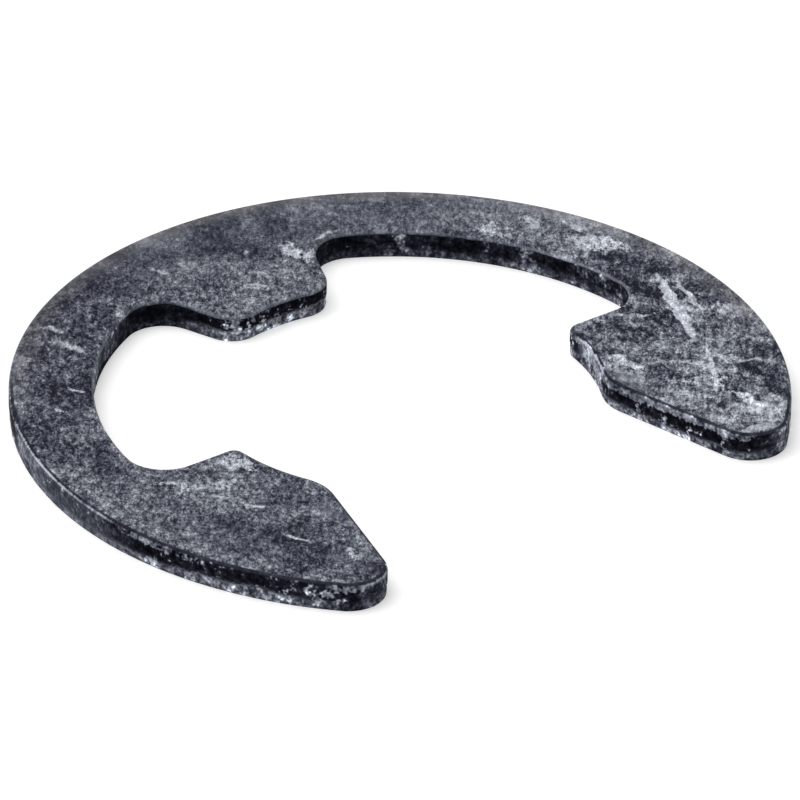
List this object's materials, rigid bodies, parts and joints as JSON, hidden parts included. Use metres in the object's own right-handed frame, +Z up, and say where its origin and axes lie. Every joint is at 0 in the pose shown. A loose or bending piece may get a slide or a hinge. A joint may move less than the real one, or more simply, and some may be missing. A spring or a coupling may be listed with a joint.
{
  "type": "circlip",
  "caption": "Flat E-shaped retaining clip: an open steel ring with inward prongs that grip a shaft groove from the side and stop parts sliding along the shaft.",
  "frame": {"origin": "centre of the shaft groove that the prongs grip, on the face that the clip lies on", "axes": "+Z up through the strip and along the shaft, +Y towards the back of the ring, the mouth opens towards -Y"},
  "size_m": [0.023, 0.02, 0.0009],
  "materials": {
    "phosphated_steel": "dark grey phosphate, tumbled and lightly scuffed"
  },
  "bodies": {
    "root": {"clip": "phosphated_steel"}
  },
  "joints": []
}
